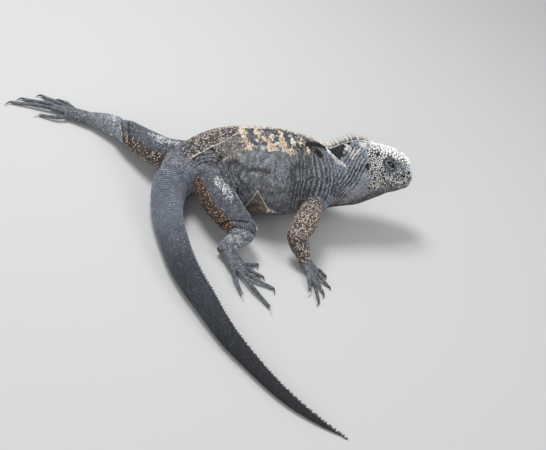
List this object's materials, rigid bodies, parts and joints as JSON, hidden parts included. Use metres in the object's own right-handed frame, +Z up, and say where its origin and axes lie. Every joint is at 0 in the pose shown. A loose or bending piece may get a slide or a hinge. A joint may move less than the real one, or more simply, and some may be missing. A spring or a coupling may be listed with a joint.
{
  "type": "marine iguana",
  "caption": "Still life-size marine iguana lying with its head raised, its long crested tail swept round its right side and its clawed feet spread.",
  "frame": {"origin": "on the floor, under the middle of the whole model's bounding box", "axes": "+X runs from the hips towards the head, +Y is the animal's left, +Z is up"},
  "size_m": [0.4916, 0.471, 0.1171],
  "materials": {
    "skin_head": "matt pebbled scales, off-white and grey with black specks",
    "skin_body": "matt fine-scaled slate skin with pale shed patches",
    "skin_tail": "matt ringed scales, blue-grey to near black",
    "skin_legs": "matt pebbled scales, dark with rust and pale specks",
    "eye": "wet gloss, near black",
    "claw_dark": "smooth horn, near black",
    "claw_pale": "smooth horn, worn pale"
  },
  "bodies": {
    "root": {"head": "skin_head", "eye_left": "eye", "eye_right": "eye", "neck": "skin_body", "chest": "skin_body", "belly": "skin_body", "pelvis": "skin_body", "tail_base": "skin_tail", "tail_upper": "skin_tail", "tail_middle": "skin_tail", "tail_lower": "skin_tail", "tail_end": "skin_tail", "right_upper_arm": "skin_legs", "right_forearm": "skin_legs", "right_hand": "skin_legs", "right_thigh": "skin_legs", "right_shank": "skin_legs", "right_foot": "skin_legs", "left_upper_arm": "skin_legs", "left_forearm": "skin_legs", "left_hand": "skin_legs", "left_thigh": "skin_legs", "left_shank": "skin_legs", "left_foot": "skin_legs", "right_hand_claw_1": "claw_dark", "right_hand_claw_2": "claw_dark", "right_hand_claw_3": "claw_dark", "right_hand_claw_4": "claw_dark", "right_hand_claw_5": "claw_pale", "right_foot_claw_1": "claw_dark", "right_foot_claw_2": "claw_dark", "right_foot_claw_3": "claw_dark", "right_foot_claw_4": "claw_pale", "right_foot_claw_5": "claw_pale", "left_hand_claw_1": "claw_dark", "left_hand_claw_2": "claw_pale", "left_hand_claw_3": "claw_dark", "left_hand_claw_4": "claw_dark", "left_hand_claw_5": "claw_dark", "left_foot_claw_1": "claw_dark", "left_foot_claw_2": "claw_dark", "left_foot_claw_3": "claw_dark", "left_foot_claw_4": "claw_dark", "left_foot_claw_5": "claw_pale"}
  },
  "joints": []
}
